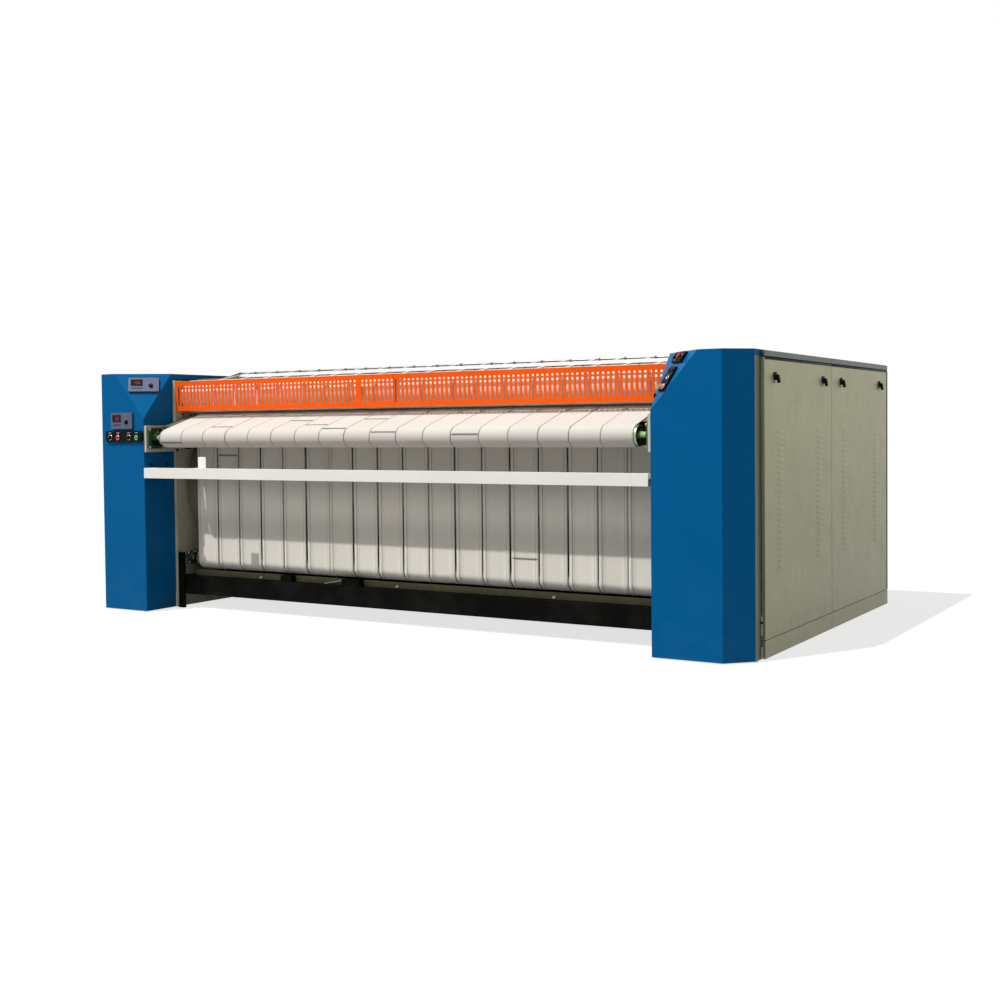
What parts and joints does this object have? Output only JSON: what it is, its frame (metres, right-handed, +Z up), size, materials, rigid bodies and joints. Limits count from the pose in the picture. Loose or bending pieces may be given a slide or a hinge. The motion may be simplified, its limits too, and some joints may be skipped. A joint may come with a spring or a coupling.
{
  "type": "flatwork ironer",
  "caption": "Wide belt-type flatwork ironer: blue end cabinets, canvas belts over heated drums, slotted orange finger guard and a cream stop bar.",
  "frame": {"origin": "on the floor, under the middle of the bounding box", "axes": "+X to the right across the machine seen by the operator, +Y from the operator to the back, +Z up"},
  "size_m": [4.514, 2.502, 1.5143],
  "materials": {
    "black_steel": "satin black paint",
    "zinc_steel": "zinc-plated steel",
    "cream_paint": "cream enamel",
    "blue_paint": "blue enamel",
    "stainless_sheet": "brushed stainless sheet",
    "olive_paint": "olive-grey paint",
    "green_paint": "dark green machine paint",
    "roller_steel": "turned steel",
    "drum_steel": "polished heated shell",
    "belt_canvas": "woven canvas",
    "roll_cloth": "wrapped padding cloth",
    "tape_cotton": "narrow woven tape",
    "guard_orange": "orange powder coat",
    "bar_paint": "cream powder coat",
    "latch_black": "moulded black",
    "case_silver": "silver-grey case",
    "window_dark": "dark red display window",
    "plate_black": "black control plate",
    "knob_black": "black knob",
    "button_red": "red push button",
    "button_green": "green push button",
    "motor_grey": "grey machine paint",
    "pipe_steel": "aluminium paint"
  },
  "bodies": {
    "root": {"base_frame": "black_steel", "levelling_feet": "zinc_steel", "cabinet_frames": "black_steel", "side_frames": "cream_paint", "front_pan": "olive_paint", "cabinet_shells": "blue_paint", "steel_strips": "stainless_sheet", "roof_panels": "stainless_sheet", "cover_panels": "stainless_sheet", "feed_bearing_plates": "cream_paint", "flange_bearings": "green_paint", "drum_bearings": "green_paint", "fasteners": "zinc_steel", "feed_bed": "stainless_sheet", "feed_belts": "belt_canvas", "ironing_belt_fronts": "belt_canvas", "ironing_belt_loops": "belt_canvas", "drive_motor": "motor_grey", "drive_chain": "black_steel", "tape_rods": "zinc_steel", "tape_tube": "zinc_steel", "small_brackets": "zinc_steel", "guide_tapes": "tape_cotton", "exhaust_duct": "pipe_steel", "steam_manifold": "pipe_steel", "meter_cases": "case_silver", "display_windows": "window_dark", "control_plates": "plate_black"},
    "drum_1": {"drum_1": "drum_steel", "drum_1_sprocket": "motor_grey"},
    "drum_2": {"drum_2": "drum_steel", "drum_2_sprocket": "motor_grey"},
    "motor_sprocket": {"motor_sprocket": "motor_grey"},
    "nose_roller": {"nose_roller": "roller_steel"},
    "rear_feed_roller": {"rear_feed_roller": "roller_steel"},
    "lower_front_roller": {"lower_front_roller": "roller_steel"},
    "upper_front_roller": {"upper_front_roller": "roller_steel"},
    "mid_roller": {"mid_roller": "roller_steel"},
    "rear_roller": {"rear_roller": "roller_steel"},
    "press_roll": {"press_roll_core": "roller_steel", "press_roll_cloth": "roll_cloth"},
    "guard_left": {"guard_left": "guard_orange"},
    "guard_right": {"guard_right": "guard_orange"},
    "stop_bar": {"stop_bar": "bar_paint"},
    "front_door": {"front_door": "stainless_sheet"},
    "rear_door": {"rear_door": "stainless_sheet"},
    "latch_front_door_front": {"latch_front_door_front": "latch_black"},
    "latch_front_door_rear": {"latch_front_door_rear": "latch_black"},
    "latch_rear_door_front": {"latch_rear_door_front": "latch_black"},
    "latch_rear_door_rear": {"latch_rear_door_rear": "latch_black"},
    "meter_knob": {"meter_knob": "knob_black"},
    "controller_knob": {"controller_knob": "knob_black"},
    "left_selector_a": {"left_selector_a": "knob_black"},
    "left_selector_b": {"left_selector_b": "knob_black"},
    "right_selector": {"right_selector": "knob_black"},
    "stop_button": {"stop_button": "button_red"},
    "start_button": {"start_button": "button_green"},
    "reset_button": {"reset_button": "button_green"},
    "emergency_button": {"emergency_button": "button_red"}
  },
  "joints": [
    {"name": "drum_1_turn", "type": "hinge", "parent": "root", "child": "drum_1", "pos_m": [0, -0.407, 0.79], "axis": [1, 0, 0], "continuous": true},
    {"name": "drum_2_turn", "type": "hinge", "parent": "root", "child": "drum_2", "pos_m": [0, 0.59, 0.79], "axis": [1, 0, 0], "continuous": true},
    {"name": "motor_turn", "type": "hinge", "parent": "root", "child": "motor_sprocket", "pos_m": [0, 0.087, 0.33], "axis": [1, 0, 0], "continuous": true},
    {"name": "nose_roller_turn", "type": "hinge", "parent": "root", "child": "nose_roller", "pos_m": [0, -1.145, 1.09], "axis": [1, 0, 0], "continuous": true},
    {"name": "rear_feed_roller_turn", "type": "hinge", "parent": "root", "child": "rear_feed_roller", "pos_m": [0, -0.7887, 1.20029], "axis": [1, 0, 0], "continuous": true},
    {"name": "lower_front_roller_turn", "type": "hinge", "parent": "root", "child": "lower_front_roller", "pos_m": [0, -0.841, 0.314], "axis": [1, 0, 0], "continuous": true},
    {"name": "upper_front_roller_turn", "type": "hinge", "parent": "root", "child": "upper_front_roller", "pos_m": [0, -0.871, 1.06], "axis": [1, 0, 0], "continuous": true},
    {"name": "mid_roller_turn", "type": "hinge", "parent": "root", "child": "mid_roller", "pos_m": [0, 0.0915, 0.44], "axis": [1, 0, 0], "continuous": true},
    {"name": "rear_roller_turn", "type": "hinge", "parent": "root", "child": "rear_roller", "pos_m": [0, 1.065, 0.3], "axis": [1, 0, 0], "continuous": true},
    {"name": "press_roll_turn", "type": "hinge", "parent": "root", "child": "press_roll", "pos_m": [0, -0.83687, 1.35591], "axis": [1, 0, 0], "continuous": true},
    {"name": "guard_left_swing", "type": "hinge", "parent": "root", "child": "guard_left", "pos_m": [0, -0.942, 1.439], "axis": [-1, 0, 0], "range_deg": [0, 80]},
    {"name": "guard_right_swing", "type": "hinge", "parent": "root", "child": "guard_right", "pos_m": [0, -0.942, 1.439], "axis": [-1, 0, 0], "range_deg": [0, 80]},
    {"name": "stop_bar_push", "type": "slide", "parent": "root", "child": "stop_bar", "axis": [0, 1, 0], "range_m": [0, 0.008], "stiffness_N_per_m": 3000},
    {"name": "front_door_tilt", "type": "hinge", "parent": "root", "child": "front_door", "pos_m": [2.235, 0, 0.097], "axis": [0, 1, 0], "range_deg": [0, 25]},
    {"name": "rear_door_tilt", "type": "hinge", "parent": "root", "child": "rear_door", "pos_m": [2.235, 0, 0.097], "axis": [0, 1, 0], "range_deg": [0, 25]},
    {"name": "latch_front_door_front_turn", "type": "hinge", "parent": "front_door", "child": "latch_front_door_front", "pos_m": [2.235, -0.868, 1.375], "axis": [1, 0, 0], "range_deg": [0, 90]},
    {"name": "latch_front_door_rear_turn", "type": "hinge", "parent": "front_door", "child": "latch_front_door_rear", "pos_m": [2.235, -0.104, 1.375], "axis": [1, 0, 0], "range_deg": [0, 90]},
    {"name": "latch_rear_door_front_turn", "type": "hinge", "parent": "rear_door", "child": "latch_rear_door_front", "pos_m": [2.235, 0.225, 1.375], "axis": [1, 0, 0], "range_deg": [0, 90]},
    {"name": "latch_rear_door_rear_turn", "type": "hinge", "parent": "rear_door", "child": "latch_rear_door_rear", "pos_m": [2.235, 1.013, 1.375], "axis": [1, 0, 0], "range_deg": [0, 90]},
    {"name": "meter_knob_turn", "type": "hinge", "parent": "root", "child": "meter_knob", "pos_m": [-1.78406, -1.10721, 1.41639], "axis": [0.598, -0.6129, 0.5165], "range_deg": [0, 270]},
    {"name": "controller_knob_turn", "type": "hinge", "parent": "root", "child": "controller_knob", "pos_m": [-1.868, -1.225, 1.194], "axis": [0, -1, 0], "range_deg": [0, 270]},
    {"name": "left_selector_a_turn", "type": "hinge", "parent": "root", "child": "left_selector_a", "pos_m": [-2.017, -1.225, 1.096], "axis": [0, -1, 0], "range_deg": [0, 90]},
    {"name": "left_selector_b_turn", "type": "hinge", "parent": "root", "child": "left_selector_b", "pos_m": [-1.851, -1.225, 1.096], "axis": [0, -1, 0], "range_deg": [0, 90]},
    {"name": "right_selector_turn", "type": "hinge", "parent": "root", "child": "right_selector", "pos_m": [1.82791, -1.10936, 1.46461], "axis": [-0.598, -0.6129, 0.5165], "range_deg": [0, 90]},
    {"name": "stop_button_press", "type": "slide", "parent": "root", "child": "stop_button", "axis": [0, 1, 0], "range_m": [0, 0.004], "stiffness_N_per_m": 400},
    {"name": "start_button_press", "type": "slide", "parent": "root", "child": "start_button", "axis": [0, 1, 0], "range_m": [0, 0.004], "stiffness_N_per_m": 400},
    {"name": "reset_button_press", "type": "slide", "parent": "root", "child": "reset_button", "axis": [0.598, 0.6129, -0.5165], "range_m": [0, 0.004], "stiffness_N_per_m": 400},
    {"name": "emergency_button_press", "type": "slide", "parent": "root", "child": "emergency_button", "axis": [0.598, 0.6129, -0.5165], "range_m": [0, 0.004], "stiffness_N_per_m": 400}
  ],
  "couplings": [
    {"joint": "drum_2_turn", "follows": "drum_1_turn", "ratio": 1},
    {"joint": "motor_turn", "follows": "drum_1_turn", "ratio": 3.1579},
    {"joint": "nose_roller_turn", "follows": "drum_1_turn", "ratio": -8.6071},
    {"joint": "rear_feed_roller_turn", "follows": "drum_1_turn", "ratio": -8.6071},
    {"joint": "lower_front_roller_turn", "follows": "drum_1_turn", "ratio": -7.7742},
    {"joint": "upper_front_roller_turn", "follows": "drum_1_turn", "ratio": -15.062},
    {"joint": "mid_roller_turn", "follows": "drum_1_turn", "ratio": -7.7742},
    {"joint": "rear_roller_turn", "follows": "drum_1_turn", "ratio": -7.7742},
    {"joint": "press_roll_turn", "follows": "drum_1_turn", "ratio": 4.6346}
  ]
}
